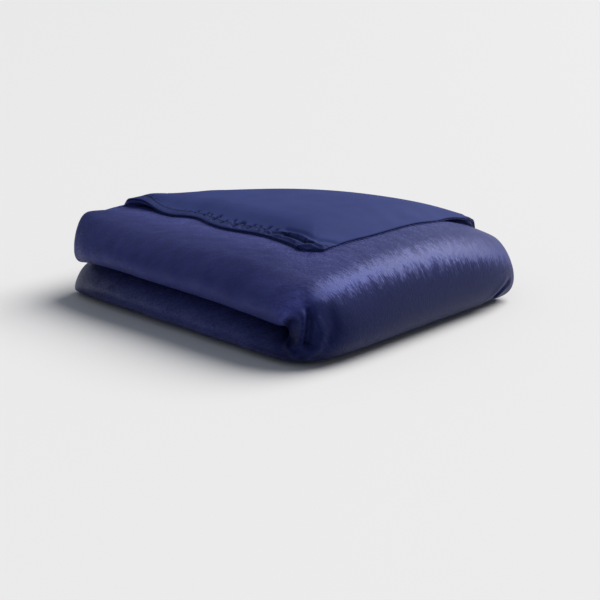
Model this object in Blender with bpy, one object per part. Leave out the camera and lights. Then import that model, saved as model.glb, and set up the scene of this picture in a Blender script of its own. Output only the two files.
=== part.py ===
"""A weighted blanket folded into a pad, with one corner of its top ply turned back.

The blanket is drawn flat, as the cut cloth, with a crease line wherever it will bend. The folds are then
made one after another, in the order in which a person makes them: one corner turned back over the plush,
the whole halved along its length, the far third of its width turned under, the near third turned over it
so that its hem hangs over the back edge, and the pad halved again. Last of all it settles under its own
weight. It lies on a surface with the middle of its footprint at the origin, the last fold on the +X side
and the rolled long side at -Y. Lengths are in metres.
"""

import collections
import math

import bmesh
import bpy
from mathutils import Matrix, Vector

# The cloth as cut
LONG_SIDE = 1.83
SHORT_SIDE = 1.22
PLY = 0.0075  # plush face to smooth reverse
REVERSE_CLOTH = 0.0013
REVERSE_GAP = 0.0008
HEM_ROUNDING = 0.020  # how far in from its edge a ply starts to thin
HEM_SHARE = 0.45  # what is left of the ply at the seam
NAVY_PLUSH = (0.030, 0.036, 0.130)
NAVY_REVERSE = (0.048, 0.058, 0.190)
PLUSH_ROUGHNESS = 0.8
REVERSE_ROUGHNESS = 0.6

# Clear space between plies that lie on each other
HALF_GAP = 0.0012
THIRD_GAP = 0.0020
LAST_GAP = 0.0040
CORNER_GAP = 0.0035

# How far each part reaches in the folded pad
PAD_RUN = 0.368  # the flat run of the middle third between its two folds
OVERHANG = 0.064  # the top third's hem past the back fold
HANG_EASE = 0.004  # how far past the back fold's own bend that hem starts to bend down
HANG_BEND = 1.35  # and how far down it bends, in radians
HEM_PULL = 0.095  # how far the same hem is drawn in on the last fold and under the pad
PULL_START = 0.36  # how far from the top ply's short hems the drawing in begins
PULL_RUN = 0.18  # and the length over which it grows
CORNER_LEG = 0.406  # along each edge from the turned corner to the end of its crease
STAGGER = 0.011  # the top ply's short hem, in from the open end

DOUBLE = 2 * PLY + HALF_GAP
SIX_PLY = 3 * DOUBLE + 2 * THIRD_GAP
LOFT = 2 * SIX_PLY + LAST_GAP

# A row for each fold made across the whole cloth: the cloth before it, the length of its half turn, the
# depth it turns about and how far it bulges for its height
Fold = collections.namedtuple("Fold", "run turn pivot bulge")

HALVING_TURN = math.pi * (PLY + HALF_GAP) / 2
UNDER_TURN = math.pi * (DOUBLE + THIRD_GAP) / 2
OVER_TURN = math.pi * (SIX_PLY - DOUBLE) / 2
LAST_TURN = math.pi * (SIX_PLY + LAST_GAP) / 2
CORNER_TURN = math.pi * (PLY + CORNER_GAP) / 2
HALF_LENGTH = (LONG_SIDE + STAGGER - HALVING_TURN) / 2
TOP_THIRD = PAD_RUN + OVERHANG

HALVED = Fold(HALF_LENGTH, HALVING_TURN, PLY + HALF_GAP / 2, 1.0)
THIRD_UNDER = Fold(TOP_THIRD + OVER_TURN + PAD_RUN, UNDER_TURN, DOUBLE + THIRD_GAP / 2, 1.0)
THIRD_OVER = Fold(TOP_THIRD, OVER_TURN, SIX_PLY / 2, 1.24)
HALVED_AGAIN = Fold((HALF_LENGTH + PLY - LAST_TURN) / 2, LAST_TURN, SIX_PLY + LAST_GAP / 2, 0.87)

HANG_START = OVERHANG - HANG_EASE
HANG_PIVOT = 2 * DOUBLE + 1.5 * THIRD_GAP
HANG_RADIUS = HANG_PIVOT - DOUBLE / 2
HANG_ARC = HANG_RADIUS * HANG_BEND

PAD_LENGTH = HALVED_AGAIN.run + HALVED_AGAIN.bulge * HALVED_AGAIN.pivot
BACK_FOLD = PAD_RUN + THIRD_OVER.bulge * THIRD_OVER.pivot
PAD_WIDTH = BACK_FOLD + DOUBLE

# How the pad settles: the lower plies are pressed thin, more so towards the last fold and the back
PRESS = 0.3125
PRESS_ALONG = 0.400
PRESS_ACROSS = 0.110
CROWN = 0.058
BACK_CORNER_SAG = 0.074
CORNER_ROUNDING = 0.075  # the share by which the footprint's corners are drawn in
ROUNDING_POWER = 6  # how late along a side that starts
HALF_SPAN_LIMIT = 1.2  # past this many half spans the drawing in grows no more

# A row for each side of the pad: how far in from it the top slopes, and how much height is lost there
Slope = collections.namedtuple("Slope", "reach drop")

OPEN_END_SLOPE = Slope(0.230, -0.050)
LAST_FOLD_SLOPE = Slope(0.169, 0.188)
ROLLED_SLOPE = Slope(0.190, 0.160)
BACK_SLOPE = Slope(0.185, 0.237)


def turn_corner(length, width, depth):
    """The corner where both edges start, turned back over the plush face along a diagonal."""
    reach = (CORNER_LEG - length - width) / math.sqrt(2)
    if reach <= 0:
        return length, width, depth
    pivot = -CORNER_GAP / 2
    if reach < CORNER_TURN:
        angle = math.pi * reach / CORNER_TURN
        radius = depth - pivot
        out, depth = radius * math.sin(angle), pivot + radius * math.cos(angle)
    else:
        out, depth = CORNER_TURN - reach, 2 * pivot - depth
    shift = (reach - out) / math.sqrt(2)
    return length + shift, width + shift, depth


def fold_back(along, depth, fold):
    """Where a point goes when the cloth past the fold's run turns back under itself."""
    past = along - fold.run
    if past <= 0:
        return along, depth
    if past < fold.turn:
        angle = math.pi * past / fold.turn
        radius = fold.pivot - depth
        return fold.run + fold.bulge * radius * math.sin(angle), fold.pivot - radius * math.cos(angle)
    return fold.run - (past - fold.turn), 2 * fold.pivot - depth


def ease(share):
    """A smooth step from nought to one."""
    share = min(max(share, 0.0), 1.0)
    return share * share * (3 - 2 * share)


def draw_hem(length, width):
    """The hem of the top third, drawn in where it goes around the last fold and under the pad."""
    if width >= TOP_THIRD:
        return width
    from_end = min(length, LONG_SIDE + STAGGER - length)
    pull = HEM_PULL * ease((from_end - PULL_START) / PULL_RUN)
    return width + pull * (1 - width / TOP_THIRD)


def hang(width, depth):
    """The overhang of the top third, bent down over the back fold."""
    past = HANG_START - width
    if past <= 0 or depth > DOUBLE + THIRD_GAP / 2:
        return width, depth
    angle = min(past / HANG_RADIUS, HANG_BEND)
    rest = past - angle * HANG_RADIUS
    radius = HANG_PIVOT - depth
    width = HANG_START - radius * math.sin(angle) - rest * math.cos(angle)
    return width, HANG_PIVOT - radius * math.cos(angle) + rest * math.sin(angle)


def drawn_in(half_spans):
    """What rounds the footprint's corners: how much of one side's span is left, this far along the other."""
    return 1 - CORNER_ROUNDING * min(abs(half_spans), HALF_SPAN_LIMIT) ** ROUNDING_POWER


def settle(x, y, z):
    """The pad under its own weight: lower plies thinner, top sloping to the sides, corners rounded."""
    across, along = 2 * x / PAD_LENGTH - 1, 2 * y / PAD_WIDTH - 1
    side, end = min(max(across, -1), 1), min(max(along, -1), 1)
    z *= 1 - (PRESS + (PRESS_ALONG * side + PRESS_ACROSS * end) / 2) * (1 - z / LOFT)
    lost = BACK_CORNER_SAG * min(side, 0) ** 2 * max(end, 0) ** 2 - CROWN * (1 - side**2) * (1 - end**2)
    for inset, slope in (
        (x, OPEN_END_SLOPE),
        (PAD_LENGTH - x, LAST_FOLD_SLOPE),
        (y, ROLLED_SLOPE),
        (PAD_WIDTH - y, BACK_SLOPE),
    ):
        lost += slope.drop * max(0.0, 1 - max(inset, 0.0) / slope.reach) ** 2
    z *= 1 - lost
    x = across * drawn_in(along) * PAD_LENGTH / 2
    y = along * drawn_in(across) * PAD_WIDTH / 2
    return Vector((x, y, z))


def folded(length, width, depth):
    """The place in the folded pad of a point of the flat cloth."""
    length, width, depth = turn_corner(length, width, depth)
    length += STAGGER
    width = draw_hem(length, width)
    length, depth = fold_back(length, depth, HALVED)
    width, depth = fold_back(width, depth, THIRD_UNDER)
    width, depth = fold_back(width, depth, THIRD_OVER)
    width, depth = hang(width, depth)
    length, depth = fold_back(length, depth, HALVED_AGAIN)
    return settle(length, BACK_FOLD + OVERHANG - width, LOFT - depth)


def thickness(length, width):
    """The ply's thickness at this point of the cloth, rounded off towards the seam around its edge."""
    inset = min(length, width, LONG_SIDE - length, SHORT_SIDE - width)
    rise = 1 - min(max(inset, 0) / HEM_ROUNDING, 1)
    return PLY * (HEM_SHARE + (1 - HEM_SHARE) * math.sqrt(1 - rise * rise))


def body_depth(length, width, inner):
    """The plush body's depth: its outer face, or the inner one next to the reverse cloth."""
    half = thickness(length, width) / 2
    return PLY / 2 + half - REVERSE_CLOTH - REVERSE_GAP if inner else PLY / 2 - half


def reverse_depth(length, width, inner):
    """The reverse cloth's depth: its bare face, or the one next to the body."""
    half = thickness(length, width) / 2
    return PLY / 2 + half - (0 if inner else REVERSE_CLOTH)


# Crease lines: how many equal steps each stretch of cloth is cut into
FLAT_STEPS = 6
SIDE_STEPS = 5
WIDE_TURN_STEPS = 8
TIGHT_TURN_STEPS = 4
HANG_STEPS = 3
CORNER_TURN_STEPS = 5
HEM_STATIONS = (0.005,)
SNAP = 1e-5  # a crease this near a point of the cloth runs through it


def steps(start, end, count):
    """Evenly spaced stations past the start, up to and with the end."""
    return [start + (end - start) * (i + 1) / count for i in range(count)]


def stations(stretches, cut_length, start=0.0):
    """All the crease stations along one side of the cloth, from a row for each stretch: its end, its steps."""
    found = []
    for end, count in stretches:
        found += steps(start, end, count)
        start = end
    found = [s for s in found if s < cut_length - SNAP]
    return found + list(HEM_STATIONS) + [cut_length - s for s in HEM_STATIONS]


LENGTH_STRETCHES = (
    (HALVED_AGAIN.run - STAGGER, FLAT_STEPS),
    (HALVED_AGAIN.run + LAST_TURN - STAGGER, WIDE_TURN_STEPS),
    (HALF_LENGTH - STAGGER, FLAT_STEPS),
    (HALF_LENGTH + HALVING_TURN - STAGGER, TIGHT_TURN_STEPS),
    (LONG_SIDE - HALVED_AGAIN.run - LAST_TURN, FLAT_STEPS),
    (LONG_SIDE - HALVED_AGAIN.run, WIDE_TURN_STEPS),
    (LONG_SIDE, FLAT_STEPS),
)
WIDTH_STRETCHES = (
    (HANG_START - HANG_ARC, 1),
    (HANG_START, HANG_STEPS),
    (TOP_THIRD, SIDE_STEPS),
    (TOP_THIRD + OVER_TURN, WIDE_TURN_STEPS),
    (THIRD_UNDER.run, SIDE_STEPS),
    (THIRD_UNDER.run + UNDER_TURN, TIGHT_TURN_STEPS + 1),
    (SHORT_SIDE, SIDE_STEPS),
)


def crease(bm, faces, point, direction):
    """A fold line across some faces of the flat cloth."""
    parts = {p for f in faces for p in (f, *f.edges, *f.verts)}
    bmesh.ops.bisect_plane(bm, geom=list(parts), dist=SNAP, plane_co=point, plane_no=direction)


def flat_cloth():
    """The cut cloth, flat, with all its crease lines."""
    bm = bmesh.new()
    bmesh.ops.create_grid(bm, x_segments=1, y_segments=1, size=0.5)
    bmesh.ops.translate(bm, verts=bm.verts, vec=(0.5, 0.5, 0))
    bmesh.ops.scale(bm, verts=bm.verts, vec=(LONG_SIDE, SHORT_SIDE, 1))
    for station in stations(LENGTH_STRETCHES, LONG_SIDE, -STAGGER):
        crease(bm, bm.faces[:], (station, 0, 0), (1, 0, 0))
    for station in stations(WIDTH_STRETCHES, SHORT_SIDE):
        crease(bm, bm.faces[:], (0, station, 0), (0, 1, 0))
    for past in [0.0] + steps(0, CORNER_TURN, CORNER_TURN_STEPS):
        crease(bm, bm.faces[:], (CORNER_LEG - math.sqrt(2) * past, 0, 0), (1, 1, 0))
    for past in [0.0] + steps(0, HANG_ARC, HANG_STEPS):
        corner = [f for f in bm.faces if sum(f.calc_center_median()) < CORNER_LEG]
        crease(bm, corner, (CORNER_LEG - CORNER_TURN / math.sqrt(2) - HANG_START + past, 0, 0), (1, 0, 0))
    return bm


def make_layer(name, depth_at, colour, roughness):
    """One layer of the cloth as a closed solid, from a function for the depth of its two faces."""
    bm = flat_cloth()
    bmesh.ops.triangulate(bm, faces=bm.faces)
    copied = bmesh.ops.extrude_face_region(bm, geom=bm.faces[:])["geom"]
    inner = {v for v in copied if isinstance(v, bmesh.types.BMVert)}
    for vert in bm.verts:
        length, width = vert.co.x, vert.co.y
        vert.co = folded(length, width, depth_at(length, width, vert in inner))
    bmesh.ops.recalc_face_normals(bm, faces=bm.faces)
    if bm.calc_volume(signed=True) < 0:
        bmesh.ops.reverse_faces(bm, faces=bm.faces)
    mesh = bpy.data.meshes.new(name)
    bm.to_mesh(mesh)
    bm.free()
    material = bpy.data.materials.new(name)
    material.use_nodes = True
    shader = material.node_tree.nodes["Principled BSDF"]
    shader.inputs["Base Color"].default_value = (*colour, 1)
    shader.inputs["Roughness"].default_value = roughness
    mesh.materials.append(material)
    blanket.objects.link(bpy.data.objects.new(name, mesh))
    return mesh


def centre_footprint(meshes):
    """Move the whole pad so that the middle of its footprint is at the origin."""
    points = [v.co for mesh in meshes for v in mesh.vertices]
    middle = [(min(p[axis] for p in points) + max(p[axis] for p in points)) / 2 for axis in (0, 1)]
    for mesh in meshes:
        mesh.transform(Matrix.Translation((-middle[0], -middle[1], 0)))


for old in list(bpy.data.objects):
    bpy.data.objects.remove(old)
blanket = bpy.data.collections.new("weighted_blanket")
bpy.context.scene.collection.children.link(blanket)
layers = [
    make_layer("plush_body", body_depth, NAVY_PLUSH, PLUSH_ROUGHNESS),
    make_layer("reverse_panel", reverse_depth, NAVY_REVERSE, REVERSE_ROUGHNESS),
]
centre_footprint(layers)
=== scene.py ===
"""The folded weighted blanket as photographed: plush face, smooth reverse, sewn hem and soft folds."""

import math
from collections import namedtuple

import bmesh
import bpy
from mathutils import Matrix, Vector, noise


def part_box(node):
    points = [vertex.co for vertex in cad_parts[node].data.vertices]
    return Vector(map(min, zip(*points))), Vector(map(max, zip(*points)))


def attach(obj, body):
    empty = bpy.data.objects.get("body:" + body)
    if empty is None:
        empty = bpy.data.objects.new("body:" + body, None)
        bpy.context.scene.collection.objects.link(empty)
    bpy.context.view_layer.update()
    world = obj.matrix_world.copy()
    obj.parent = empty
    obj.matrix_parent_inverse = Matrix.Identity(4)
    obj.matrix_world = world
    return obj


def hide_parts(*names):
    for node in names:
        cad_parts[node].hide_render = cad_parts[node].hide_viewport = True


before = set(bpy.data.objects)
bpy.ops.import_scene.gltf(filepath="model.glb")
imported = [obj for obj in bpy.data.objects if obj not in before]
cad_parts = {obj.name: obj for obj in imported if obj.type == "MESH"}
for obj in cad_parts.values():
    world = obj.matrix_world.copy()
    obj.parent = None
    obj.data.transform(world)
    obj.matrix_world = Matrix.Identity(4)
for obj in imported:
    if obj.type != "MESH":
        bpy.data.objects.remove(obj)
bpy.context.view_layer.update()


# ---------------------------------------------------------------------------------------------------------
# Camera
# It looks at the front corner of the pad, from a little above it, as in the photograph. The long lens keeps
# the two long sides nearly straight.

LOOKS_AT = Vector((0.1385, -0.1472, 0.050))
CAMERA_DISTANCE = 1.1785
CAMERA_AZIMUTH = math.radians(43.34)
CAMERA_PITCH = math.radians(16.46)
LENS_MM = 63.0
SENSOR_MM = 36.0


def toward(azimuth, height):
    """The direction out from the pad at an azimuth and a height, both of them angles."""
    level = math.cos(height)
    return Vector((math.sin(azimuth) * level, -math.cos(azimuth) * level, math.sin(height)))


toward_camera = toward(CAMERA_AZIMUTH, CAMERA_PITCH)
camera = bpy.data.objects.new("camera", bpy.data.cameras.new("camera"))
camera.data.lens = LENS_MM
camera.data.sensor_width = SENSOR_MM
camera.data.dof.use_dof = False
camera.location = LOOKS_AT + CAMERA_DISTANCE * toward_camera
camera.rotation_euler = toward_camera.to_track_quat("Z", "Y").to_euler()
bpy.context.scene.collection.objects.link(camera)
bpy.context.scene.camera = camera


# ---------------------------------------------------------------------------------------------------------
# Studio
# A plain pale floor that reaches past the view, and soft light: a large lamp high behind the pad, whose glow
# lies along the shoulder of the last fold, and a pale room around.

FLOOR_SIZE = 120.0
FLOOR_COLOUR = (0.67, 0.66, 0.65)
ROOM_COLOUR = (0.78, 0.86, 1.0)
ROOM_STRENGTH = 0.30
LAMP_AZIMUTH = math.radians(168)
LAMP_HEIGHT = math.radians(47)
LAMP_SOFTNESS = math.radians(48)
LAMP_STRENGTH = 4.3
LAMP_COLOUR = (1.0, 0.985, 0.97)

lamp = bpy.data.objects.new("high_lamp", bpy.data.lights.new("high_lamp", "SUN"))
lamp.data.angle = LAMP_SOFTNESS
lamp.data.energy = LAMP_STRENGTH
lamp.data.color = LAMP_COLOUR
lamp.rotation_euler = toward(LAMP_AZIMUTH, LAMP_HEIGHT).to_track_quat("Z", "Y").to_euler()
bpy.context.scene.collection.objects.link(lamp)

bm = bmesh.new()
bmesh.ops.create_grid(bm, x_segments=1, y_segments=1, size=FLOOR_SIZE / 2)
floor_mesh = bpy.data.meshes.new("floor")
bm.to_mesh(floor_mesh)
bm.free()
floor = bpy.data.objects.new("floor", floor_mesh)
bpy.context.scene.collection.objects.link(floor)
floor_paint = bpy.data.materials.new("floor_paint")
floor_paint.use_nodes = True
shader = floor_paint.node_tree.nodes["Principled BSDF"]
shader.inputs["Base Color"].default_value = (*FLOOR_COLOUR, 1)
shader.inputs["Roughness"].default_value = 0.9
floor.data.materials.append(floor_paint)

room = bpy.data.worlds.new("room")
room.use_nodes = True
background = room.node_tree.nodes["Background"]
background.inputs["Color"].default_value = (*ROOM_COLOUR, 1)
background.inputs["Strength"].default_value = ROOM_STRENGTH
bpy.context.scene.world = room
bpy.context.scene.view_settings.view_transform = "Standard"


# ---------------------------------------------------------------------------------------------------------
# Plush body
# The plush face and the quilted, weighted layer behind it. The cloth is cut flat, 1.83 by 1.22 m, and folded
# up in the order in which a person folds it: a corner turned back over the plush, the whole halved, a third
# turned under, a third turned over it with its hem hanging down the back, and the pad halved again.

LONG_SIDE = 1.83
SHORT_SIDE = 1.22
PLY = 0.0075
REVERSE_CLOTH = 0.0013
REVERSE_GAP = 0.0008

# The spaces between plies, and how the turned corner's loop opens at its right end and swells near its left
HALF_GAP = 0.0012
THIRD_GAP = 0.0020
LAST_GAP = 0.0040
CORNER_GAP = 0.0035
RIGHT_END_OPENS = 0.0110
RIGHT_END_CLEAR = 0.020
END_REACH = 0.090
LEFT_SWELL = 0.0024
LEFT_SWELL_FROM_END = 0.072
LEFT_SWELL_REACH = 0.034
LEFT_END_PRESSED = 0.80
PRESSED_REACH = 0.070
LONGER_LEG = 0.011
LONGER_FROM = 0.16
LONGER_RUN = 0.20

# The pad's width before its back fold, the hem that hangs past it, and the turned corner
PAD_RUN = 0.368
OVERHANG = 0.064
HANG_EASE = 0.004
HANG_BEND = 1.35  # radians
HEM_PULL = 0.095
PULL_START = 0.36
PULL_RUN = 0.18
CORNER_LEG = 0.392
LOOSE_RUN = 0.050
CORNER_DRAG = 0.030
DRAG_REACH = 0.090
DRAG_FADE = 0.050
STAGGER = 0.011  # how far in the near short hem lies from the far one

DOUBLE = 2 * PLY + HALF_GAP
SIX_PLY = 3 * DOUBLE + 2 * THIRD_GAP
LOFT = 2 * SIX_PLY + LAST_GAP
TOP_THIRD = PAD_RUN + OVERHANG

# A row for each fold made across the whole cloth: the cloth before it, the length of its half turn, the
# depth it turns about and how far it bulges for its height
Fold = namedtuple("Fold", "run turn pivot bulge")

HALVING_TURN = math.pi * (PLY + HALF_GAP) / 2
UNDER_TURN = math.pi * (DOUBLE + THIRD_GAP) / 2
OVER_TURN = math.pi * (SIX_PLY - DOUBLE) / 2
LAST_TURN = math.pi * (SIX_PLY + LAST_GAP) / 2
HALF_LENGTH = (LONG_SIDE + STAGGER - HALVING_TURN) / 2

HALVED = Fold(HALF_LENGTH, HALVING_TURN, PLY + HALF_GAP / 2, 1.0)
THIRD_UNDER = Fold(TOP_THIRD + OVER_TURN + PAD_RUN, UNDER_TURN, DOUBLE + THIRD_GAP / 2, 1.0)
THIRD_OVER = Fold(TOP_THIRD, OVER_TURN, SIX_PLY / 2, 1.24)
HALVED_AGAIN = Fold((HALF_LENGTH + PLY - LAST_TURN) / 2, LAST_TURN, SIX_PLY + LAST_GAP / 2, 0.87)

HANG_START = OVERHANG - HANG_EASE
HANG_PIVOT = 2 * DOUBLE + 1.5 * THIRD_GAP
HANG_RADIUS = HANG_PIVOT - DOUBLE / 2

PAD_LENGTH = HALVED_AGAIN.run + HALVED_AGAIN.bulge * HALVED_AGAIN.pivot
BACK_FOLD = PAD_RUN + THIRD_OVER.bulge * THIRD_OVER.pivot
PAD_WIDTH = BACK_FOLD + DOUBLE

# How the pad settles under its own weight
PRESS = 0.3125
PRESS_ALONG = 0.400
PRESS_ACROSS = 0.110
CROWN = 0.058
BACK_CORNER_SAG = 0.074
LEFT_CORNER_SINK = 0.85
LEFT_CORNER_RISE = 0.165
CORNER_ROUNDING = 0.075
ROUNDING_POWER = 6
HALF_SPAN_LIMIT = 1.2

# A row for each side of the pad: how far in from it the top slopes, and how much height is lost there
Slope = namedtuple("Slope", "reach drop")

OPEN_END_SLOPE = Slope(0.230, -0.050)
LAST_FOLD_SLOPE = Slope(0.169, 0.188)
ROLLED_SLOPE = Slope(0.190, 0.160)
BACK_SLOPE = Slope(0.185, 0.237)

body_low, body_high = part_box("plush_body")
PAD_MIDDLE = Vector((body_high[0] - PAD_LENGTH / 2, body_low[1] + PAD_WIDTH / 2, 0))


def ease(share):
    """A smooth step from nought to one."""
    share = min(max(share, 0.0), 1.0)
    return share * share * (3 - 2 * share)


def corner_gap(along):
    """How far the turned corner is above the plush: its loop opens at the right and swells near the left."""
    to_right, to_left = CORNER_LEG - along, CORNER_LEG + along
    right = RIGHT_END_OPENS * (1 - ease((to_right - RIGHT_END_CLEAR) / END_REACH))
    swell = math.exp(-(((to_left - LEFT_SWELL_FROM_END) / LEFT_SWELL_REACH) ** 2))
    pressed = LEFT_END_PRESSED * (1 - ease(to_left / PRESSED_REACH))
    return CORNER_GAP * (1 - pressed) + right + LEFT_SWELL * swell


def corner_leg(along):
    """How far from the corner its fold line is: a little further at the right end."""
    return CORNER_LEG + LONGER_LEG * ease((along - LONGER_FROM) / LONGER_RUN)


def turn_corner(length, width, depth):
    """The corner where both edges start, turned back over the plush face along a diagonal."""
    reach = (corner_leg(length - width) - length - width) / math.sqrt(2)
    if reach <= 0:
        return length, width, depth
    gap = corner_gap(length - width)
    turn = math.pi * (PLY + gap) / 2
    pivot = -gap / 2
    if reach < turn:
        angle = math.pi * reach / turn
        radius = depth - pivot
        out, depth = radius * math.sin(angle), pivot + radius * math.cos(angle)
    else:
        out, depth = turn - reach, 2 * pivot - depth
    shift = (reach - out) / math.sqrt(2)
    return length + shift, width + shift, depth


# A row for each place along a hem of the turned corner: how far in its gathers have drawn it there
Drawn = namedtuple("Drawn", "place pull")

SHORT_HEM_DRAWN = (
    Drawn(0.000, 0.018),
    Drawn(0.020, 0.002),
    Drawn(0.050, 0.004),
    Drawn(0.100, 0.006),
    Drawn(0.155, 0.0015),
    Drawn(0.185, 0.005),
    Drawn(0.225, 0.0135),
    Drawn(0.265, 0.004),
    Drawn(0.330, 0.005),
)
LONG_HEM_DRAWN = (
    Drawn(0.000, 0.009),
    Drawn(0.040, 0.009),
    Drawn(0.100, 0.006),
    Drawn(0.220, 0.013),
    Drawn(0.280, 0.025),
    Drawn(0.340, 0.020),
)
GATHER_REACH = 0.060


def between(place, rows):
    """How far the hem is drawn in at a place along it, smoothly from row to row."""
    for i in range(1, len(rows)):
        before, after = rows[i - 1], rows[i]
        if place < after.place:
            run = after.place - before.place
            share = (place - before.place) / run
            first, last = rows[max(i - 2, 0)], rows[min(i + 1, len(rows) - 1)]
            start = run * (after.pull - first.pull) / (after.place - first.place)
            end = run * (last.pull - before.pull) / (last.place - before.place)
            change = after.pull - before.pull
            bend = (start + end - 2 * change) * share + 3 * change - 2 * start - end
            return before.pull + share * (start + share * bend)
    return rows[-1].pull


def gather_hems(length, width):
    """The turned corner's two hems, drawn in unevenly by the gathers of their sewing."""
    loose = ease((CORNER_LEG - length - width) / LOOSE_RUN)
    if loose == 0:
        return length, width
    from_short = loose * between(width, SHORT_HEM_DRAWN) * math.exp(-length / GATHER_REACH)
    from_long = loose * between(length, LONG_HEM_DRAWN) * math.exp(-width / GATHER_REACH)
    return length + from_short, width + from_long


def drag_end(length, width):
    """How far the turned corner has dragged the short hem beside it in along the pad."""
    beside = 1 - ease((width - CORNER_LEG) / DRAG_FADE)
    return CORNER_DRAG * beside * math.exp(-((length / DRAG_REACH) ** 2))


def fold_back(along, depth, fold):
    """Where a point goes when the cloth past the fold's run turns back under itself."""
    past = along - fold.run
    if past <= 0:
        return along, depth
    if past < fold.turn:
        angle = math.pi * past / fold.turn
        radius = fold.pivot - depth
        return fold.run + fold.bulge * radius * math.sin(angle), fold.pivot - radius * math.cos(angle)
    return fold.run - (past - fold.turn), 2 * fold.pivot - depth


def draw_hem(length, width):
    """The hem of the top third, drawn in where it goes around the last fold and under the pad."""
    if width >= TOP_THIRD:
        return width
    from_end = min(length, LONG_SIDE + STAGGER - length)
    pull = HEM_PULL * ease((from_end - PULL_START) / PULL_RUN)
    return width + pull * (1 - width / TOP_THIRD)


def hang(width, depth):
    """The overhang of the top third, bent down over the back fold."""
    past = HANG_START - width
    if past <= 0 or depth > DOUBLE + THIRD_GAP / 2:
        return width, depth
    angle = min(past / HANG_RADIUS, HANG_BEND)
    rest = past - angle * HANG_RADIUS
    radius = HANG_PIVOT - depth
    width = HANG_START - radius * math.sin(angle) - rest * math.cos(angle)
    return width, HANG_PIVOT - radius * math.cos(angle) + rest * math.sin(angle)


def drawn_in(half_spans):
    """What rounds the footprint's corners: how much of one side's span is left, this far along the other."""
    return 1 - CORNER_ROUNDING * min(abs(half_spans), HALF_SPAN_LIMIT) ** ROUNDING_POWER


def settle(x, y, z):
    """The pad under its own weight: lower plies thinner, top sloping to the sides, corners rounded."""
    across, along = 2 * x / PAD_LENGTH - 1, 2 * y / PAD_WIDTH - 1
    side, end = min(max(across, -1), 1), min(max(along, -1), 1)
    z *= 1 - (PRESS + (PRESS_ALONG * side + PRESS_ACROSS * end) / 2) * (1 - z / LOFT)
    left, front = abs(min(side, 0)), abs(min(end, 0))
    z *= 1 - LEFT_CORNER_SINK * left**5 * front**2 * (1 - z / LOFT)
    z *= 1 + LEFT_CORNER_RISE * left**3 * (front**2 - front**8)
    lost = BACK_CORNER_SAG * min(side, 0) ** 2 * max(end, 0) ** 2 - CROWN * (1 - side**2) * (1 - end**2)
    for inset, slope in (
        (x, OPEN_END_SLOPE),
        (PAD_LENGTH - x, LAST_FOLD_SLOPE),
        (y, ROLLED_SLOPE),
        (PAD_WIDTH - y, BACK_SLOPE),
    ):
        lost += slope.drop * max(0.0, 1 - max(inset, 0.0) / slope.reach) ** 2
    z *= 1 - lost
    return Vector((across * drawn_in(along) * PAD_LENGTH / 2, along * drawn_in(across) * PAD_WIDTH / 2, z))


def folded(length, width, depth):
    """The place in the folded pad of a point of the flat cloth."""
    length, width = gather_hems(length, width)
    length, width, depth = turn_corner(length, width, depth)
    length += STAGGER + drag_end(length, width)
    width = draw_hem(length, width)
    length, depth = fold_back(length, depth, HALVED)
    width, depth = fold_back(width, depth, THIRD_UNDER)
    width, depth = fold_back(width, depth, THIRD_OVER)
    width, depth = hang(width, depth)
    length, depth = fold_back(length, depth, HALVED_AGAIN)
    return settle(length, BACK_FOLD + OVERHANG - width, LOFT - depth) + PAD_MIDDLE


# The hem: a thin flat strip outside the line of topstitching, where the filling stops
HEM = 0.0024
EDGE = 0.0016
EDGE_TAPER = 0.003
STITCH_INSET = 0.0105
FILLING_FROM = 0.8 * STITCH_INSET
FILLING_REACH = 0.032
FILLING_CURVE = 0.7
FULLER_ENDS = 0.7
FULLER_FROM = 0.28
FULLER_RUN = 0.08
HEM_ROUNDING = 0.011
EDGE_DROP = 0.0058
TIGHT_DROP = 0.0044
TIP_DROP = 0.0036
TIP_REACH = 0.110
LONG_TIP_REACH = 0.045
RELAX_REACH = 0.045
RUFFLE = 0.0010
RUFFLE_SPACING = 0.035
RUFFLE_FROM_TIP = 0.03
RUFFLE_SEED = 1.3
CLEAR_OF_FOLD = 0.010
DIAGONAL_POWER = 3
TINY = 1e-6

# Toward its right end the long side's hem stands off the plush, and toward its left end the other one is full
STANDS_OFF_FROM = 0.240
STANDS_OFF_RUN = 0.090
FULL_END_FROM = 0.300
FULL_END_RUN = 0.070
FULL_END = 0.0060
FULL_END_DROP = 0.0010

# Crumples of the turned corner. A row for each soft ridge or trough, as a line on the flat cloth: its two
# ends, half its width and how high it is (less than nought for a trough)
Crumple = namedtuple("Crumple", "length width to_length to_width half_width height")

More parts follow.
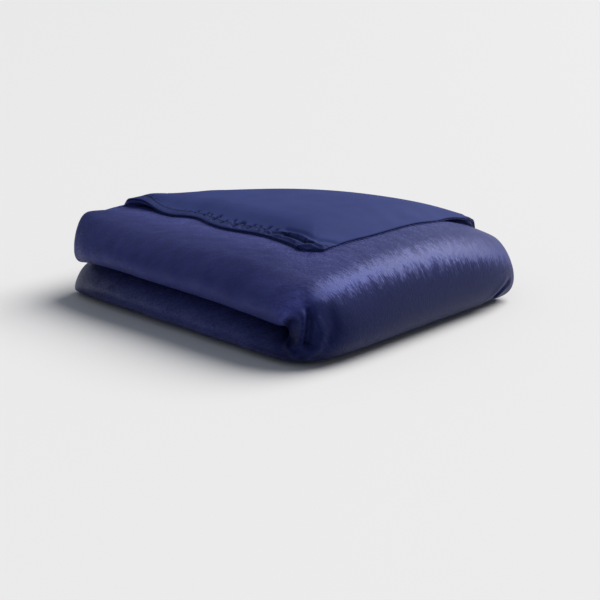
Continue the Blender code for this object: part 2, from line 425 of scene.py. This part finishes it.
CRUMPLES = (
    Crumple(0.0060, 0.104, 0.0080, 0.084, 0.0020, 0.0010),
    Crumple(0.0080, 0.084, 0.0112, 0.070, 0.0020, 0.0014),
    Crumple(0.0112, 0.070, 0.0145, 0.056, 0.0020, 0.0018),
    Crumple(0.0145, 0.056, 0.0155, 0.034, 0.0020, 0.0019),
    Crumple(0.0155, 0.034, 0.0120, 0.016, 0.0020, 0.0018),
    Crumple(0.0120, 0.016, 0.0060, 0.005, 0.0020, 0.0014),
    Crumple(0.0000, 0.028, 0.0032, 0.022, 0.0017, 0.0018),
    Crumple(0.0032, 0.022, 0.0058, 0.015, 0.0017, 0.0020),
    Crumple(0.0058, 0.015, 0.0010, 0.008, 0.0017, 0.0014),
    Crumple(0.0040, 0.074, 0.0060, 0.052, 0.0018, 0.0010),
    Crumple(0.0060, 0.052, 0.0045, 0.038, 0.0018, 0.0011),
    Crumple(0.0085, 0.062, 0.0105, 0.046, 0.0020, -0.0014),
    Crumple(0.0105, 0.046, 0.0100, 0.026, 0.0020, -0.0015),
    Crumple(0.0200, 0.070, 0.0215, 0.046, 0.0036, -0.0012),
    Crumple(0.0215, 0.046, 0.0210, 0.024, 0.0038, -0.0013),
    Crumple(0.0280, 0.004, 0.0210, 0.016, 0.0044, -0.0012),
    Crumple(0.0030, 0.064, 0.0100, 0.061, 0.0015, -0.0012),
    Crumple(0.0040, 0.087, 0.0155, 0.083, 0.0017, -0.0020),
    Crumple(0.0060, 0.099, 0.0165, 0.096, 0.0018, -0.0024),
    Crumple(0.0080, 0.108, 0.0140, 0.110, 0.0016, -0.0016),
    Crumple(0.0050, 0.123, 0.0145, 0.119, 0.0016, -0.0018),
    Crumple(0.0060, 0.133, 0.0150, 0.136, 0.0017, -0.0024),
    Crumple(0.0050, 0.145, 0.0160, 0.140, 0.0017, -0.0024),
    Crumple(0.0070, 0.151, 0.0170, 0.154, 0.0018, -0.0026),
    Crumple(0.0060, 0.170, 0.0140, 0.166, 0.0016, -0.0018),
    Crumple(0.0070, 0.187, 0.0180, 0.184, 0.0019, -0.0026),
    Crumple(0.0090, 0.199, 0.0150, 0.201, 0.0017, -0.0018),
    Crumple(0.0080, 0.213, 0.0155, 0.210, 0.0017, -0.0020),
    Crumple(0.0100, 0.232, 0.0150, 0.230, 0.0018, -0.0016),
)
CRUMPLED_LENGTH = 0.040
CRUMPLED_WIDTH = 0.245
RIDGE_REACH = 3  # half widths from its line, past which a ridge has no height left


def wander(x, y, seed):
    """Smooth noise between about -1 and 1, for what is uneven in the cloth."""
    return noise.noise(Vector((x, y, seed)))


def edge_inset(length, width):
    """How far in from the nearest edge of the cloth a point is."""
    return min(length, width, LONG_SIDE - length, SHORT_SIDE - width)


def ridge(across, up, row):
    """How high one row's ridge or trough is at a point: all of its height on its line, none far away."""
    x, y, to_x, to_y, half_width, height = row
    run_x, run_y = to_x - x, to_y - y
    share = min(max(((across - x) * run_x + (up - y) * run_y) / (run_x * run_x + run_y * run_y), 0), 1)
    off = math.hypot(across - x - share * run_x, up - y - share * run_y) / half_width
    return height * math.exp(-off * off) if off < RIDGE_REACH else 0.0


def ridges_at(across, up, rows):
    """The height of a set of ridges and troughs at a point. Where two ridges meet, they don't add up."""
    heights = [0.0] + [ridge(across, up, row) for row in rows]
    return max(heights) + min(heights)


def rounded_inset(length, width):
    """How far in from both edges of the turned corner a point is, without a sharp change at the diagonal."""
    near, far = sorted((max(length, TINY), max(width, TINY)))
    return near * (1 + (near / far) ** DIAGONAL_POWER) ** (-1 / DIAGONAL_POWER)


def thickness(length, width):
    """The ply's thickness: thin in the hem, full where the filling starts inside the topstitching."""
    inset = edge_inset(length, width)
    hem = EDGE + (HEM - EDGE) * min(max(inset, 0) / EDGE_TAPER, 1)
    if length + width < CORNER_LEG:
        hem += (FULL_END - hem) * ease((width - FULL_END_FROM) / FULL_END_RUN)
        reach = FILLING_REACH * (1 - FULLER_ENDS * ease((max(length, width) - FULLER_FROM) / FULLER_RUN))
        inset = rounded_inset(length, width)
        return hem + (PLY - hem) * ease((inset - FILLING_FROM) / reach) ** FILLING_CURVE
    rise = 1 - min(max(inset, 0) / HEM_ROUNDING, 1)
    return hem + (PLY - HEM) * math.sqrt(max(0.0, 1 - rise * rise))


def flap_lift(length, width):
    """How far the turned corner's hems are lifted: less than nought, because they drop to the plush."""
    if length + width > CORNER_LEG - CLEAR_OF_FOLD:
        return 0.0
    inset, along = rounded_inset(length, width), max(length, width)
    reach = TIP_REACH if length < width else LONG_TIP_REACH
    at_stitch = -TIP_DROP + (TIP_DROP - TIGHT_DROP) * ease(along / reach)
    at_stitch += RUFFLE * wander(along / RUFFLE_SPACING, 0, RUFFLE_SEED) * ease(along / RUFFLE_FROM_TIP)
    if inset < STITCH_INSET:
        lift = -EDGE_DROP + (EDGE_DROP + at_stitch) * inset / STITCH_INSET
    else:
        lift = at_stitch * (1 - ease((inset - STITCH_INSET) / RELAX_REACH))
    lift *= 1 - ease((length - STANDS_OFF_FROM) / STANDS_OFF_RUN)
    lift += (-FULL_END_DROP - lift) * ease((width - FULL_END_FROM) / FULL_END_RUN)
    if length < CRUMPLED_LENGTH and width < CRUMPLED_WIDTH:
        lift += ridges_at(length, width, CRUMPLES)
    return lift * ease((CORNER_LEG - CLEAR_OF_FOLD - length - width) / LOOSE_RUN)


def body_depth(length, width, inner):
    """The plush body's depth: its outer face, or the inner one next to the reverse cloth."""
    half = thickness(length, width) / 2
    depth = PLY / 2 + half - REVERSE_CLOTH - REVERSE_GAP if inner else PLY / 2 - half
    return depth + flap_lift(length, width)


# Creases of the pad's front corner, where the inside of the last fold has no room for its cloth. A row for
# each soft ridge or trough, as a line on the corner as seen from in front: metres across from the corner and
# up from the floor at its two ends, half its width and how far it stands out (less than nought for a trough)
Crease = namedtuple("Crease", "across up to_across to_up half_width out")

OUTWARD = Vector((0.686, -0.727, 0))
ACROSS = Vector((0.727, 0.686, 0))
FRONT_CORNER = Vector((0.2035, -0.2065, 0))
FRONT_CREASES = (
    Crease(-0.0150, 0.0450, -0.0165, 0.0310, 0.0080, -0.0175),
    Crease(-0.0095, 0.0405, -0.0088, 0.0345, 0.0036, -0.0110),
    Crease(-0.0026, 0.0590, -0.0048, 0.0390, 0.0032, 0.0056),
    Crease(-0.0048, 0.0390, -0.0085, 0.0270, 0.0032, 0.0056),
    Crease(-0.0085, 0.0270, -0.0140, 0.0230, 0.0034, 0.0038),
    Crease(0.0020, 0.0640, 0.0026, 0.0470, 0.0036, -0.0078),
    Crease(0.0026, 0.0470, 0.0005, 0.0290, 0.0038, -0.0090),
    Crease(-0.0250, 0.0330, -0.0200, 0.0220, 0.0036, 0.0044),
    Crease(-0.0200, 0.0220, -0.0130, 0.0145, 0.0036, 0.0040),
    Crease(-0.0160, 0.0270, -0.0110, 0.0190, 0.0036, -0.0040),
    Crease(0.0100, 0.0560, 0.0170, 0.0390, 0.0034, 0.0036),
    Crease(0.0170, 0.0390, 0.0130, 0.0230, 0.0034, 0.0036),
    Crease(0.0130, 0.0230, 0.0010, 0.0130, 0.0036, 0.0032),
    Crease(0.0250, 0.0600, 0.0290, 0.0420, 0.0060, -0.0018),
    Crease(0.0020, 0.0660, 0.0090, 0.0750, 0.0036, 0.0018),
    Crease(0.0070, 0.0620, 0.0170, 0.0690, 0.0036, 0.0016),
    Crease(-0.0050, 0.0640, -0.0040, 0.0760, 0.0050, -0.0014),
)

# Low on the back corner, the last fold's inner plies stand back behind the line of its outer one
BACK_CORNER = Vector((0.2296, 0.1072, 0))
BACK_CREASES = (
    Crease(0.0190, 0.0330, 0.0115, 0.0275, 0.0030, 0.0016),
    Crease(0.0115, 0.0275, 0.0000, 0.0210, 0.0030, 0.0018),
    Crease(0.0000, 0.0210, -0.0120, 0.0140, 0.0030, 0.0012),
    Crease(0.0230, 0.0290, 0.0140, 0.0225, 0.0036, -0.0070),
    Crease(0.0140, 0.0225, 0.0030, 0.0150, 0.0036, -0.0076),
    Crease(0.0030, 0.0150, -0.0090, 0.0075, 0.0036, -0.0050),
    Crease(0.0210, 0.0170, 0.0060, 0.0060, 0.0060, -0.0036),
)
CREASED_ACROSS = 0.050
CREASE_FADE = Slope(0.060, 0.050)
RIM = Slope(0.030, 0.0012)

# A row for each kind of wave that loosens the rolled side: its share, its size across and up, and its seed
Wave = namedtuple("Wave", "share across up seed")

RIM_WAVES = (
    Wave(1.0, 0.060, 0.050, 7.7),
    Wave(0.6, 0.022, 0.030, 9.9),
)


def crease_pad(p):
    """Crease the folded pad at two corners, and loosen the straight line of its rolled side."""
    x, y, z = p
    waves = (wave.share * wander(x / wave.across, z / wave.up, wave.seed) for wave in RIM_WAVES)
    rim = RIM.drop * sum(waves)
    y -= rim * max(0.0, 1 - (y - FRONT_CORNER.y) / RIM.reach)
    p = Vector((x, y, z))
    for corner, creases in ((FRONT_CORNER, FRONT_CREASES), (BACK_CORNER, BACK_CREASES)):
        from_corner = p - corner
        across, behind = from_corner.dot(ACROSS), -from_corner.dot(OUTWARD)
        if abs(across) < CREASED_ACROSS and abs(behind) < CREASE_FADE.reach:
            share = ease((CREASE_FADE.reach - behind) / CREASE_FADE.drop)
            p = p + share * ridges_at(across, z, creases) * OUTWARD
    return p


# A row for each stretch along a side of the cloth: its end, and the spacing of the mesh's rows in it. The
# mesh is close at the hem, over the tip of the turned corner and around the folds
Stretch = namedtuple("Stretch", "end spacing")

HEM_LENGTH = 0.018
HEM_WIDTH = 0.016
TIP_WIDTH = 0.280
BESIDE_FOLD = 0.030  # also beside the two far hems
PAST_LAST_FOLD = 0.050
LAST_FOLD_FROM = HALVED_AGAIN.run - STAGGER
LAST_FOLD_TO = HALVED_AGAIN.run + LAST_TURN - STAGGER
BODY_LENGTHS = (
    Stretch(HEM_LENGTH, 0.0013),
    Stretch(CRUMPLED_LENGTH, 0.0020),
    Stretch(LAST_FOLD_FROM - BESIDE_FOLD, 0.0042),
    Stretch(LAST_FOLD_TO, 0.0020),
    Stretch(LAST_FOLD_TO + PAST_LAST_FOLD, 0.0025),
    Stretch(HALF_LENGTH - STAGGER, 0.0120),
    Stretch(HALF_LENGTH + HALVING_TURN - STAGGER, 0.0023),
    Stretch(LONG_SIDE - HALVED_AGAIN.run - LAST_TURN, 0.0160),
    Stretch(LONG_SIDE - HALVED_AGAIN.run, 0.0060),
    Stretch(LONG_SIDE - BESIDE_FOLD, 0.0100),
    Stretch(LONG_SIDE, 0.0030),
)
BODY_WIDTHS = (
    Stretch(HEM_WIDTH, 0.0014),
    Stretch(TIP_WIDTH, 0.0018),
    Stretch(CORNER_LEG, 0.0036),
    Stretch(TOP_THIRD, 0.0036),
    Stretch(TOP_THIRD + OVER_TURN, 0.0019),
    Stretch(TOP_THIRD + OVER_TURN + BESIDE_FOLD, 0.0030),
    Stretch(THIRD_UNDER.run, 0.0120),
    Stretch(THIRD_UNDER.run + UNDER_TURN, 0.0026),
    Stretch(SHORT_SIDE - BESIDE_FOLD, 0.0100),
    Stretch(SHORT_SIDE, 0.0030),
)

# Where the cloth lies between plies its mesh is thinned, until the piece has no more triangles than this
MOST_TRIANGLES = 195000
HIDDEN_INSET = 0.012  # a face next to the other layer doesn't show, this far in from the hems

# Along the turned corner's diagonal fold the mesh is also cut into strips, this many over the half turn
CORNER_STRIPS = 6
CUT_REACH = 0.020


def stations(stretches):
    """The places of all the mesh's rows along one side of the cloth."""
    found = [0.0]
    for end, spacing in stretches:
        start = found[-1]
        count = max(1, round((end - start) / spacing))
        found += [start + (end - start) * (i + 1) / count for i in range(count)]
    return found


def hidden_inside(length, width, inner):
    """Whether a point of the cloth is between plies, or faces its other layer, and so needs few faces."""
    return length > HALVED.run + HALVED.turn or (inner and min(length, width) > HIDDEN_INSET)


def flat_cloth(lengths, widths):
    """The flat cloth as a mesh of one face for each pair of rows, cut along the turned corner's fold."""
    along, across = stations(lengths), stations(widths)
    bm = bmesh.new()
    bmesh.ops.create_grid(bm, x_segments=len(along) - 1, y_segments=len(across) - 1, size=0.5)
    for vert in bm.verts:
        column = round((vert.co.x + 0.5) * (len(along) - 1))
        row = round((vert.co.y + 0.5) * (len(across) - 1))
        vert.co = (along[column], across[row], 0)
    for past in range(CORNER_STRIPS + 1):
        inset = CORNER_LEG - math.sqrt(2) * past * math.pi * (PLY + CORNER_GAP) / (2 * CORNER_STRIPS)
        near = [f for f in bm.faces if abs(sum(f.calc_center_median()) - inset) < CUT_REACH]
        parts = {p for f in near for p in (f, *f.edges, *f.verts)}
        bmesh.ops.bisect_plane(bm, geom=list(parts), dist=1e-5, plane_co=(inset, 0, 0), plane_no=(1, 1, 0))
    return bm


def thin_hidden(layer, hidden):
    """Thin a layer's mesh at the hidden vertices, until it has few enough triangles."""
    dense = layer.data
    layer.vertex_groups.new(name="hidden").add(hidden, 1.0, "REPLACE")
    thinned = layer.modifiers.new("thinned", "DECIMATE")
    thinned.vertex_group = "hidden"
    thinned.ratio = MOST_TRIANGLES / (2 * len(dense.polygons))
    layer.data = bpy.data.meshes.new_from_object(layer.evaluated_get(bpy.context.evaluated_depsgraph_get()))
    layer.modifiers.clear()
    layer.vertex_groups.clear()
    layer.data.name = dense.name
    bpy.data.meshes.remove(dense)


def sewn_layer(name, depth_at, lengths, widths):
    """One layer of the cloth as a closed, folded mesh. Its UV map holds the flat cloth's own measures."""
    bm = flat_cloth(lengths, widths)
    flat_map = bm.loops.layers.uv.new("flat_cloth")
    copied = bmesh.ops.extrude_face_region(bm, geom=bm.faces[:])["geom"]
    inner = {v for v in copied if isinstance(v, bmesh.types.BMVert)}
    for face in bm.faces:
        for loop in face.loops:
            loop[flat_map].uv = (loop.vert.co.x, loop.vert.co.y)
    bm.verts.index_update()
    hidden = []
    for vert in bm.verts:
        length, width = vert.co.x, vert.co.y
        if hidden_inside(length, width, vert in inner):
            hidden.append(vert.index)
        vert.co = crease_pad(folded(length, width, depth_at(length, width, vert in inner)))
    bmesh.ops.recalc_face_normals(bm, faces=bm.faces)
    if bm.calc_volume(signed=True) < 0:
        bmesh.ops.reverse_faces(bm, faces=bm.faces)
    mesh = bpy.data.meshes.new(name)
    bm.to_mesh(mesh)
    bm.free()
    layer = bpy.data.objects.new(name, mesh)
    bpy.context.scene.collection.objects.link(layer)
    thin_hidden(layer, hidden)
    layer.data.shade_smooth()
    return layer


PLUSH_DARK = (0.0200, 0.0232, 0.088)
PLUSH_LIGHT = (0.0370, 0.0425, 0.147)
PLUSH_DARK_AT = 0.38
PLUSH_LIGHT_AT = 0.62
PLUSH_GLEAM = (0.12, 0.20, 1.0)  # the gloss of its fibres
PLUSH_FUZZ = (0.22, 0.27, 1.0)  # and their glow against the light
NAP_SLANT = math.radians(20)  # the pile is brushed a little off the line of the long side
LOCK_LENGTH = 0.0036
LOCK_WIDTH = 0.0015
PATCH_LENGTH = 0.022
PATCH_WIDTH = 0.009
LOCK_LEAN = 1.00
PATCH_LEAN = 0.36
LOCK_RAGGED = 0.009
PATCH_RAGGED = 0.013
LINE_SKEW = 0.024  # the brushed line isn't quite along the cloth's width
LINE_SKEW_FROM = 0.310

# The pile was brushed up to a line along the last fold and down below it, and its leans tilt the normal. Its
# colour is painted with light and shade: lighter above the line, darker below it and toward the lower bulge's
# far end. A row for each place along the length: how far the pile leans there and how much painted light and
# shade scale its colour
Nap = namedtuple("Nap", "place lean shade")

LEAN_LIMIT = 0.5  # no row leans further than this
SHADE_LIMIT = 2  # nor looks lighter than this
NAPS = (
    Nap(0.3000, 0.10, 1.12),
    Nap(0.3600, 0.00, 0.94),
    Nap(0.3900, -0.12, 0.82),
    Nap(0.4030, -0.17, 0.78),
    Nap(0.4095, -0.24, 0.80),
    Nap(0.4150, -0.21, 0.88),
    Nap(0.4190, -0.12, 0.98),
    Nap(0.4224, -0.03, 1.00),
    Nap(0.4256, 0.12, 0.62),
    Nap(0.4300, 0.22, 0.40),
    Nap(0.4370, 0.20, 0.30),
    Nap(0.4450, 0.08, 0.20),
    Nap(0.4550, -0.04, 0.14),
    Nap(0.5000, 0.05, 0.24),
    Nap(0.5450, 0.16, 0.56),
    Nap(0.6200, 0.16, 0.74),
    Nap(0.7600, 0.20, 0.60),
    Nap(0.8800, 0.20, 0.20),
)

# The same for each place along the width: over the rolled side's shoulder it leans down and then back, and
# its colour is painted darker there as shade. From CORNER_FROM on, the rows of the front corner take over,
# where the creases press the pile both ways and the colour is painted lighter as light, with a darker dip as
# shade
SIDE_NAPS = (
    Nap(0.385, 0.00, 1.00),
    Nap(0.412, 0.16, 0.84),
    Nap(0.432, 0.20, 0.76),
    Nap(0.449, -0.02, 1.04),
    Nap(0.480, -0.20, 1.06),
)
CORNER_NAPS = (
    Nap(0.340, 0.00, 1.00),
    Nap(0.370, 0.00, 1.22),
    Nap(0.400, -0.05, 1.12),
    Nap(0.418, -0.05, 1.00),
    Nap(0.432, 0.02, 0.86),
    Nap(0.444, -0.06, 1.50),
    Nap(0.455, -0.08, 1.80),
    Nap(0.472, -0.05, 1.20),
)
CORNER_FROM = 0.335
CORNER_RUN = 0.070


def bare_material(name):
    """A new material with its node tree and its surface shader."""
    material = bpy.data.materials.new(name)
    material.use_nodes = True
    return material, material.node_tree, material.node_tree.nodes["Principled BSDF"]


def cloth_noise(tree, length, width, detail, slant=0.0, distortion=0.0):
    """Noise that follows the cloth, each spot of it about as long and as wide as given, in metres."""
    where = tree.nodes.new("ShaderNodeUVMap")
    where.uv_map = "flat_cloth"
    turn = tree.nodes.new("ShaderNodeMapping")
    turn.inputs["Rotation"].default_value = (0, 0, slant)
    size = tree.nodes.new("ShaderNodeMapping")
    size.inputs["Scale"].default_value = (1 / length, 1 / width, 1)
    spots = tree.nodes.new("ShaderNodeTexNoise")
    spots.inputs["Scale"].default_value = 1.0
    spots.inputs["Detail"].default_value = detail
    spots.inputs["Distortion"].default_value = distortion
    tree.links.new(where.outputs["UV"], turn.inputs["Vector"])
    tree.links.new(turn.outputs["Vector"], size.inputs["Vector"])
    tree.links.new(size.outputs["Vector"], spots.inputs["Vector"])
    return spots.outputs["Fac"]


def flat_place(tree):
    """How far along the flat cloth a point is, in its length and in its width."""
    where = tree.nodes.new("ShaderNodeUVMap")
    where.uv_map = "flat_cloth"
    parts = tree.nodes.new("ShaderNodeSeparateXYZ")
    tree.links.new(where.outputs["UV"], parts.inputs["Vector"])
    return parts.outputs["X"], parts.outputs["Y"]


def arithmetic(tree, operation, first, second, third=None):
    """A Math node on sockets or numbers."""
    node = tree.nodes.new("ShaderNodeMath")
    node.operation = operation
    for socket, value in zip(node.inputs, (first, second, third)):
        if isinstance(value, bpy.types.NodeSocket):
            tree.links.new(value, socket)
        elif value is not None:
            socket.default_value = value
    return node.outputs[0]


def vector_math(tree, operation, vector, other=None):
    """A Vector Math node on sockets. Where it scales, the other one is the factor."""
    node = tree.nodes.new("ShaderNodeVectorMath")
    node.operation = operation
    tree.links.new(vector, node.inputs[0])
    if other is not None:
        tree.links.new(other, node.inputs["Scale" if operation == "SCALE" else 1])
    return node.outputs["Vector"]


def along_rows(tree, place, rows):
    """The leans and the painted light and shade of a table of rows, changing evenly from row to row along the
    cloth.
    """
    start, end = rows[0].place, rows[-1].place
    ramp = tree.nodes.new("ShaderNodeValToRGB")
    while len(ramp.color_ramp.elements) < len(rows):
        ramp.color_ramp.elements.new(0.5)
    for element, row in zip(ramp.color_ramp.elements, rows):
        element.position = (row.place - start) / (end - start)
        element.color = (row.lean / (2 * LEAN_LIMIT) + 0.5, row.shade / SHADE_LIMIT, 0, 1)
    past_start = arithmetic(tree, "SUBTRACT", place, start)
    tree.links.new(arithmetic(tree, "DIVIDE", past_start, end - start), ramp.inputs["Fac"])
    parts = tree.nodes.new("ShaderNodeSeparateColor")
    tree.links.new(ramp.outputs["Color"], parts.inputs["Color"])
    lean = arithmetic(tree, "MULTIPLY_ADD", parts.outputs["Red"], 2 * LEAN_LIMIT, -LEAN_LIMIT)
    return lean, arithmetic(tree, "MULTIPLY", parts.outputs["Green"], SHADE_LIMIT)


def mixed(tree, factor, first, second):
    """A value that goes from the first to the second, as the factor goes from nought to one."""
    change = arithmetic(tree, "SUBTRACT", second, first)
    return arithmetic(tree, "MULTIPLY_ADD", change, factor, first)


def two_tones(tree, factor, low, dark, high, light):
    """A colour between two, as the factor goes from low to high."""
    shade = tree.nodes.new("ShaderNodeValToRGB")
    for element, place, colour in zip(shade.color_ramp.elements, (low, high), (dark, light)):
        element.position = place
        element.color = (*colour, 1)
    tree.links.new(factor, shade.inputs["Fac"])
    return shade.outputs["Color"]


plush, tree, shader = bare_material("navy_plush")
shader.inputs["Roughness"].default_value = 0.47
shader.inputs["Specular IOR Level"].default_value = 0.46
shader.inputs["Specular Tint"].default_value = (*PLUSH_GLEAM, 1)
shader.inputs["Sheen Weight"].default_value = 0.12
shader.inputs["Sheen Roughness"].default_value = 0.45
shader.inputs["Sheen Tint"].default_value = (*PLUSH_FUZZ, 1)

locks = cloth_noise(tree, LOCK_LENGTH, LOCK_WIDTH, detail=3.0, slant=NAP_SLANT, distortion=0.9)
patches = cloth_noise(tree, PATCH_LENGTH, PATCH_WIDTH, detail=5.0, slant=NAP_SLANT, distortion=0.4)
both = arithmetic(tree, "MULTIPLY_ADD", locks, 0.5, arithmetic(tree, "MULTIPLY", patches, 0.5))
tone = two_tones(tree, both, PLUSH_DARK_AT, PLUSH_DARK, PLUSH_LIGHT_AT, PLUSH_LIGHT)

# The brushed line, ragged from lock to lock and from patch to patch, and the leans and the painted light and
# shade that go with it
locks_off = arithmetic(tree, "SUBTRACT", locks, 0.5)
patches_off = arithmetic(tree, "SUBTRACT", patches, 0.5)
flat_length, flat_width = flat_place(tree)
brushed = arithmetic(tree, "MULTIPLY_ADD", flat_width, LINE_SKEW, -LINE_SKEW * LINE_SKEW_FROM)
brushed = arithmetic(tree, "ADD", flat_length, brushed)
brushed = arithmetic(tree, "MULTIPLY_ADD", locks_off, LOCK_RAGGED, brushed)
brushed = arithmetic(tree, "MULTIPLY_ADD", patches_off, PATCH_RAGGED, brushed)
nap_lean, nap_painted_shade = along_rows(tree, brushed, NAPS)
side_lean, side_painted_shade = along_rows(tree, flat_width, SIDE_NAPS)
corner_lean, corner_painted_shade = along_rows(tree, flat_width, CORNER_NAPS)
near_corner = arithmetic(tree, "SUBTRACT", flat_length, CORNER_FROM)
near_corner = arithmetic(tree, "DIVIDE", near_corner, CORNER_RUN)
near_corner = arithmetic(tree, "MINIMUM", arithmetic(tree, "MAXIMUM", near_corner, 0), 1)
side_lean = mixed(tree, near_corner, side_lean, corner_lean)
side_painted_shade = mixed(tree, near_corner, side_painted_shade, corner_painted_shade)
# The rows' painted light and shade scale the plush's colour
shade = arithmetic(tree, "MULTIPLY", nap_painted_shade, side_painted_shade)
tree.links.new(vector_math(tree, "SCALE", tone, shade), shader.inputs["Base Color"])

# The pile leans along the cloth's length, unevenly from lock to lock and from patch to patch, and across it
# only over the rolled side
lengthways = tree.nodes.new("ShaderNodeTangent")
lengthways.direction_type = "UV_MAP"
lengthways.uv_map = "flat_cloth"
tree.links.new(lengthways.outputs["Tangent"], shader.inputs["Tangent"])
smooth_face = tree.nodes.new("ShaderNodeNewGeometry")
sideways = vector_math(tree, "CROSS_PRODUCT", lengthways.outputs["Tangent"], smooth_face.outputs["Normal"])
lock_lean = arithmetic(tree, "MULTIPLY", locks_off, LOCK_LEAN)
patch_lean = arithmetic(tree, "MULTIPLY", patches_off, PATCH_LEAN)
long_lean = arithmetic(tree, "ADD", arithmetic(tree, "ADD", lock_lean, patch_lean), nap_lean)
long_tilt = vector_math(tree, "SCALE", lengthways.outputs["Tangent"], long_lean)
side_tilt = vector_math(tree, "SCALE", sideways, side_lean)
pile_bump = tree.nodes.new("ShaderNodeBump")
pile_bump.inputs["Strength"].default_value = 0.40
pile_bump.inputs["Distance"].default_value = 0.0006
tree.links.new(locks, pile_bump.inputs["Height"])
tilt = vector_math(tree, "ADD", long_tilt, side_tilt)
leaning = vector_math(tree, "ADD", pile_bump.outputs["Normal"], tilt)
tree.links.new(vector_math(tree, "NORMALIZE", leaning), shader.inputs["Normal"])

plush_body = sewn_layer("folded_plush", body_depth, BODY_LENGTHS, BODY_WIDTHS)
plush_body.data.materials.append(plush)
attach(plush_body, "root")
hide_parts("plush_body")


# ---------------------------------------------------------------------------------------------------------
# Reverse panel
# The smooth, matte cloth of the other face, sewn to the plush around its edge. It shows on the turned corner
# and on the ply below it at the back.

REVERSE_LENGTHS = (
    Stretch(HEM_LENGTH, 0.0010),
    Stretch(CRUMPLED_LENGTH, 0.0018),
    Stretch(LAST_FOLD_FROM, 0.0042),
    Stretch(LAST_FOLD_TO, 0.0080),
    Stretch(HALF_LENGTH - STAGGER, 0.0200),
    Stretch(HALF_LENGTH + HALVING_TURN - STAGGER, 0.0027),
    Stretch(LONG_SIDE - HALVED_AGAIN.run - LAST_TURN, 0.0200),
    Stretch(LONG_SIDE - HALVED_AGAIN.run, 0.0080),
    Stretch(LONG_SIDE - BESIDE_FOLD, 0.0100),
    Stretch(LONG_SIDE, 0.0030),
)
REVERSE_WIDTHS = (
    Stretch(HEM_WIDTH, 0.0014),
    Stretch(TIP_WIDTH, 0.0014),
    Stretch(CORNER_LEG, 0.0036),
    Stretch(TOP_THIRD, 0.0045),
    Stretch(TOP_THIRD + OVER_TURN, 0.0045),
    Stretch(THIRD_UNDER.run, 0.0200),
    Stretch(THIRD_UNDER.run + UNDER_TURN, 0.0036),
    Stretch(SHORT_SIDE - BESIDE_FOLD, 0.0200),
    Stretch(SHORT_SIDE, 0.0050),
)
REVERSE_DARK = (0.0220, 0.0320, 0.120)
REVERSE_LIGHT = (0.0265, 0.0385, 0.140)
REVERSE_DARK_AT = 0.3
REVERSE_LIGHT_AT = 0.7
REVERSE_GLEAM = (0.35, 0.43, 1.0)
# Painted shade: the colour of the topstitched line and its puckers, and how much the band outside is darkened
SEAM_PAINTED_SHADE = (0.004, 0.006, 0.025)
BAND_PAINTED_SHADE = -0.46  # how much darker it is outside the topstitching
STITCH_LINE = 0.0018
STITCH_DEPTH = 4.0  # in heights of the cloth's grain
PUCKER_REACH = 0.007
PUCKER_LENGTH = 0.012
PUCKER_PITCH = 0.0050
PUCKER_FROM = 0.54
PUCKER_SHARPNESS = 12
MOTTLE = 0.030
GRAIN = 0.0012


def reverse_depth(length, width, inner):
    """The reverse cloth's depth: its bare face, or the one next to the body."""
    half = thickness(length, width) / 2
    return PLY / 2 + half - (0 if inner else REVERSE_CLOTH) + flap_lift(length, width)


microfibre, tree, shader = bare_material("navy_microfibre")
shader.inputs["Roughness"].default_value = 0.75
shader.inputs["Specular IOR Level"].default_value = 0.12
shader.inputs["Specular Tint"].default_value = (*REVERSE_GLEAM, 1)
shader.inputs["Sheen Weight"].default_value = 0.06
shader.inputs["Sheen Roughness"].default_value = 0.5
shader.inputs["Sheen Tint"].default_value = (*REVERSE_GLEAM, 1)
mottle = cloth_noise(tree, MOTTLE, MOTTLE, detail=5.0)
tone = two_tones(tree, mottle, REVERSE_DARK_AT, REVERSE_DARK, REVERSE_LIGHT_AT, REVERSE_LIGHT)

# The topstitching pulls a fine line into the cloth, with short puckers inside it and a darker band outside.
# The line and the puckers are bumped in and painted with shade, and the band is painted darker with shade in
# uneven spots
inset, _ = flat_place(tree)
from_stitch = arithmetic(tree, "SUBTRACT", inset, STITCH_INSET)
line = arithmetic(tree, "DIVIDE", arithmetic(tree, "ABSOLUTE", from_stitch, 0), STITCH_LINE)
line = arithmetic(tree, "SUBTRACT", 1, line)
in_reach = arithmetic(tree, "SUBTRACT", 1, arithmetic(tree, "DIVIDE", from_stitch, PUCKER_REACH))
spots = cloth_noise(tree, PUCKER_LENGTH, PUCKER_PITCH, detail=1.0)
sharp = arithmetic(tree, "MULTIPLY", arithmetic(tree, "SUBTRACT", spots, PUCKER_FROM), PUCKER_SHARPNESS)
inside_line = arithmetic(tree, "GREATER_THAN", from_stitch, 0)
puckers = arithmetic(tree, "MULTIPLY", arithmetic(tree, "MINIMUM", sharp, in_reach), inside_line)
stitched = arithmetic(tree, "MAXIMUM", arithmetic(tree, "MAXIMUM", line, puckers), 0)
stitched = arithmetic(tree, "MINIMUM", stitched, 1)
on_band = arithmetic(tree, "MULTIPLY", arithmetic(tree, "LESS_THAN", from_stitch, 0), spots)
band_painted_shade = arithmetic(tree, "MULTIPLY_ADD", on_band, BAND_PAINTED_SHADE, 1)
darker = tree.nodes.new("ShaderNodeMix")
darker.data_type = "RGBA"
darker.inputs["B"].default_value = (*SEAM_PAINTED_SHADE, 1)
tree.links.new(vector_math(tree, "SCALE", tone, band_painted_shade), darker.inputs["A"])
tree.links.new(stitched, darker.inputs["Factor"])
tree.links.new(darker.outputs["Result"], shader.inputs["Base Color"])
grain = cloth_noise(tree, GRAIN, GRAIN, detail=2.0)
grain_bump = tree.nodes.new("ShaderNodeBump")
grain_bump.inputs["Strength"].default_value = 0.25
grain_bump.inputs["Distance"].default_value = 0.0003
tree.links.new(arithmetic(tree, "MULTIPLY_ADD", stitched, -STITCH_DEPTH, grain), grain_bump.inputs["Height"])
tree.links.new(grain_bump.outputs["Normal"], shader.inputs["Normal"])

reverse_panel = sewn_layer("folded_reverse", reverse_depth, REVERSE_LENGTHS, REVERSE_WIDTHS)
reverse_panel.data.materials.append(microfibre)
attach(reverse_panel, "root")
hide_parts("reverse_panel")
